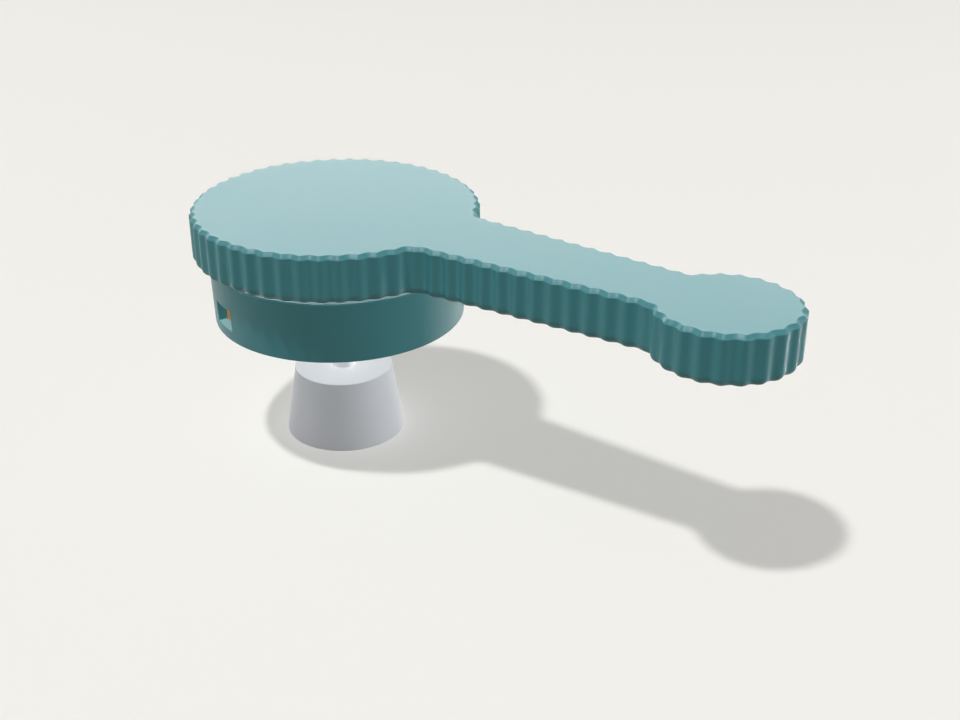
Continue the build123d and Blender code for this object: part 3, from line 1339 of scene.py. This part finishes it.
class ScrewRing(ShapeGraph):
    """Tree that stands copies of one screw evenly round a circle and sinks their hexagon keys."""

    KEY_SIDES = 6

    def __init__(self) -> None:
        """Build the tree."""
        super().__init__("screw_ring")
        blank = self.input("Screw Blank", SocketKind.OBJECT)
        count = self.input("Screws", SocketKind.COUNT)
        radius = self.input("Circle Radius", SocketKind.LENGTH)
        lead = self.input("First Angle", SocketKind.LENGTH)
        key_radius = self.input("Key Radius", SocketKind.LENGTH)
        key_depth = self.input("Key Depth", SocketKind.LENGTH)
        finish = self.input("Finish", SocketKind.FINISH)

        key_inputs = {"Vertices": self.KEY_SIDES, "Radius": key_radius, "Depth": key_depth * 2}
        key = self.node("GeometryNodeMeshCylinder", inputs=key_inputs)
        sink_inputs = {"Mesh 1": self.shape_of(blank), "Mesh 2": key}
        drive = self.node("GeometryNodeMeshBoolean", {"operation": "DIFFERENCE"}, sink_inputs)
        ring = self.node("GeometryNodeMeshCircle", inputs={"Vertices": count, "Radius": radius})
        turn = self.node("ShaderNodeCombineXYZ", inputs={"Z": lead})
        turned = self.node("GeometryNodeTransform", inputs={"Geometry": ring, "Rotation": turn})
        screws = self.node("GeometryNodeInstanceOnPoints", inputs={"Points": turned, "Instance": drive})
        self.close(screws, finish)


@dataclass(frozen=True)
class CollarScrews:
    """The button-head screws that hold the collar up to the lever."""

    window: Window
    count: int = 3
    circle_radius: float = 12.6 * MM
    shank_radius: float = 1.5 * MM
    head_radius: float = 2.8 * MM
    head_height: float = 1.7 * MM
    head_rim: float = 0.5 * MM
    key_width: float = 2.0 * MM
    key_depth: float = 1.0 * MM
    crown_soft: float = 0.48 * MM
    rim_soft: float = 0.24 * MM
    soft: float = 0.12 * MM
    columns: int = 48

    def build(self, steel: bpy.types.Material) -> bpy.types.Object:
        """Make the screws and put them in place of their node.

        Args:
            steel: the screws' material.

        Returns:
            The piece.
        """
        low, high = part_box("collar_screws")
        slope = self.head_height - self.head_rim
        shank_top = high.z - low.z
        blank_mesh = turned_mesh(
            "screw_blank",
            [
                Corner(0.0, 0.0),
                Corner(self.head_radius - slope, 0.0, self.crown_soft),
                Corner(self.head_radius, slope, self.rim_soft),
                Corner(self.head_radius, self.head_height, self.soft),
                Corner(self.shank_radius, self.head_height),
                Corner(self.shank_radius, shank_top, self.soft),
                Corner(0.0, shank_top),
            ],
            self.columns,
        )
        blank = linked("screw_blank", blank_mesh)
        sizes = {
            "Screw Blank": blank,
            "Screws": self.count,
            "Circle Radius": self.circle_radius,
            "First Angle": self.window.azimuth + math.pi / self.count,
            "Key Radius": self.key_width / math.sqrt(3),
            "Key Depth": self.key_depth,
            "Finish": steel,
        }
        mesh = ScrewRing().mesh(sizes)
        mesh.transform(Matrix.Translation((0, 0, low.z)))
        bpy.data.objects.remove(blank)
        return add_piece("collar_screw_ring", mesh, "collar_screws")


@dataclass(frozen=True)
class Stem:
    """The tapered stem cover and the bush in it, whose splined socket takes the valve spindle."""

    stack: Stack
    foot_radius: float = 10.45 * MM
    top_radius: float = 8.5 * MM
    roof: float = 1.2 * MM
    edge_soft: float = 0.12 * MM
    hole_soft: float = 0.06 * MM
    bush_radius: float = 6.0 * MM
    bush_clearance: float = 0.03 * MM
    bush_web: float = 0.8 * MM
    bush_soft: float = 0.09 * MM
    rod_hole_radius: float = 2.03 * MM
    socket_radius: float = 4.0 * MM
    socket_depth: float = 6.0 * MM
    spline_count: int = 20
    spline_depth: float = 0.36 * MM
    points_per_spline: int = 12
    columns: int = 160

    def build(
        self, tree: WavedRing, plastic: bpy.types.Material, brass: bpy.types.Material
    ) -> list[bpy.types.Object]:
        """Make the cover and the bush and put them in place of their nodes."""
        return [self.build_cover(plastic), self.build_bush(tree, brass)]

    def build_cover(self, plastic: bpy.types.Material) -> bpy.types.Object:
        """Make the tapered cover.

        Args:
            plastic: the cover's material.

        Returns:
            The piece.
        """
        top = self.stack.stem_top
        bore = self.bush_radius + self.bush_clearance
        cover = turned_mesh(
            "stem_cover",
            [
                Corner(self.rod_hole_radius, top, self.hole_soft),
                Corner(self.top_radius, top, self.edge_soft),
                Corner(self.foot_radius, 0.0, self.edge_soft),
                Corner(bore, 0.0, self.hole_soft),
                Corner(bore, top - self.roof),
                Corner(self.rod_hole_radius, top - self.roof),
            ],
            self.columns,
        )
        return add_piece("stem_cover", cover, "stem_cone", plastic)

    def build_bush(self, tree: WavedRing, brass: bpy.types.Material) -> bpy.types.Object:
        """Make the bush, with the socket's splines as a wave round its bore.

        Args:
            tree: the tree that waves the socket.
            brass: the bush's material.

        Returns:
            The piece.
        """
        bush_top = self.stack.stem_top - self.roof
        rod_seat = self.socket_depth + self.bush_web
        rod_hole = self.rod_hole_radius - self.bush_radius
        ring_radius = self.socket_radius + self.spline_depth / 2
        circle = arc(Vector((0.0, 0.0)), ring_radius, 0.0, 2 * math.pi)[:-1]
        mouth = Corner(0.0, 0.0)
        middle = Corner(0.0, self.socket_depth / 2)
        seat = Corner(0.0, self.socket_depth)
        outside = [
            Corner(0.0, 0.0),
            Corner(0.0, bush_top, self.bush_soft),
            Corner(rod_hole, bush_top),
            Corner(rod_hole, rod_seat),
            Corner(-self.bush_radius, rod_seat),
        ]
        guides = {
            "Outline": curve_object("socket_outline", [(point.x, point.y) for point in circle], cyclic=True),
            "Rim Section": section_object("socket_wall", [middle, seat]),
            "Foot Section": section_object("socket_mouth", [mouth, middle]),
            "Round Section": section_object("bush_section", outside),
        }
        sizes = {
            "Round Radius": self.bush_radius,
            "Round Columns": self.columns,
            "Waves": self.spline_count,
            "Points per Wave": self.points_per_spline,
            "Wave Depth": self.spline_depth,
            "Wave Lead": 0.0,
            "Foot Level": 0.0,
            "Top Level": self.socket_depth,
            "Top Inset": 0.0,
            "Foot Inset": 0.0,
            "Finish": brass,
        }
        return add_piece("stem_bush_socket", tree.closed(guides, sizes), "stem_bush")


@dataclass(frozen=True)
class Lamp:
    """A soft studio lamp, which levels the light as a fill lamp unless it throws shadows."""

    name: str
    place: Place
    width: float
    depth: float
    power: float
    aim: Place = (0.02, 0.0, 0.03)
    shadows: bool = False

    def build(self) -> None:
        """Add the lamp to the scene."""
        light = bpy.data.lights.new(self.name, "AREA")
        light.shape = "RECTANGLE"
        light.size = self.width
        light.size_y = self.depth
        light.energy = self.power
        light.use_shadow = self.shadows
        light.cycles.use_multiple_importance_sampling = self.shadows
        stand(linked(self.name, light), self.place, self.aim)


@dataclass(frozen=True)
class Studio:
    """The pale floor, the lamps, the world's soft light and the camera."""

    floor_half_width: float = 6.0
    floor_colour: Colour = (0.845, 0.828, 0.794)
    sky_colour: Colour = (1.0, 0.99, 0.97)
    sky_strength: float = 0.09
    backdrop_colour: Colour = (0.9, 0.89, 0.87)
    camera_place: Place = (0.14085, -0.16152, 0.11928)
    camera_aim: Place = (0.02939, 0.0, 0.02094)
    camera_lens: float = 50.385
    camera_near: float = 0.005
    # The flank lamp stands below the floor's level, where upright walls seen from above mirror it.
    lamps: tuple[Lamp, ...] = (
        Lamp("key_lamp", (-0.514, -1.223, 4.0), 0.25, 0.25, 78.0, aim=(0.03, 0.0, 0.0), shadows=True),
        Lamp("front_lamp", (0.58, -0.83, 1.76), 1.7, 1.0, 8.2),
        Lamp("sheen_lamp", (-1.9, 2.05, 1.2), 4.8, 1.8, 60.0),
        Lamp("flank_lamp", (0.49, 1.75, -0.82), 2.6, 1.0, 6.0),
        Lamp("left_lamp", (-0.79, -0.76, 0.48), 0.6, 0.4, 3.5),
        Lamp("right_lamp", (1.06, 0.51, 0.36), 0.6, 0.4, 6.0),
    )

    def build(self) -> None:
        """Make the floor, the world, the lamps and the camera."""
        self.build_floor()
        self.build_world()
        for lamp in self.lamps:
            lamp.build()
        self.build_camera()
        bpy.context.scene.view_settings.view_transform = "Standard"

    def build_camera(self) -> None:
        """Make the camera and look through it."""
        camera = linked("camera", bpy.data.cameras.new("camera"))
        camera.data.lens = self.camera_lens
        camera.data.clip_start = self.camera_near
        stand(camera, self.camera_place, self.camera_aim)
        bpy.context.scene.camera = camera

    def build_floor(self) -> None:
        """Make the floor at the stem's foot."""
        build = bmesh.new()
        bmesh.ops.create_grid(build, x_segments=1, y_segments=1, size=self.floor_half_width)
        mesh = bpy.data.meshes.new("studio_floor")
        build.to_mesh(mesh)
        build.free()
        paint = FloorPaint("pale_floor", self.floor_colour, roughness=1.0, backdrop=self.backdrop_colour)
        mesh.materials.append(paint.material())
        linked("studio_floor", mesh)

    def build_world(self) -> None:
        """Make the world: soft light all round, and a pale backdrop for the camera."""
        world = bpy.data.worlds.new("studio_world")
        world.use_nodes = True
        world.node_tree.nodes.clear()
        graph = NodeGraph(world.node_tree)
        sky_inputs = {"Color": (*self.sky_colour, 1.0), "Strength": self.sky_strength}
        sky = graph.node("ShaderNodeBackground", inputs=sky_inputs)
        backdrop_inputs = {"Color": (*self.backdrop_colour, 1.0), "Strength": 1.0}
        backdrop = graph.node("ShaderNodeBackground", inputs=backdrop_inputs)
        both = graph.node("ShaderNodeMixShader", inputs={0: graph.seen(), 1: sky, 2: backdrop})
        graph.node("ShaderNodeOutputWorld", inputs={"Surface": both})
        bpy.context.scene.world = world


def main() -> None:
    """Build the finishes, the pieces and the studio in order."""
    logging.basicConfig(level=logging.INFO, format="%(name)s: %(message)s")
    coat = SatinCoat("teal_satin_coat", (0.046, 0.238, 0.262), roughness=0.36).material()
    orange = MouldedPlastic("index_orange_plastic", (0.86, 0.38, 0.1), roughness=0.45).material()
    grey = MouldedPlastic("stem_grey_plastic", (0.85, 0.868, 0.915), roughness=0.5).material()
    brass = TurnedMetal("turned_brass", (0.72, 0.5, 0.2), roughness=0.32).material()
    steel = TurnedMetal("turned_steel", (0.8, 0.8, 0.81), roughness=0.4).material()

    stack = Stack.read()
    index_low, index_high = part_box("index_plug")
    window = Window(level=(index_low.z + index_high.z) / 2)
    waved_ring = WavedRing()
    pieces = [
        Lever(stack, window).build(waved_ring, coat),
        Collar(stack, window).build(coat),
        IndexPlug(window).build(orange),
        *HubFittings(stack, window).build(brass, steel),
        CollarScrews(window).build(steel),
        *Stem(stack).build(waved_ring, grey, brass),
    ]
    for piece in pieces:
        log.info("%s: %d faces", piece.name, len(piece.data.polygons))
    Studio().build()


if __name__ == "__main__":
    main()
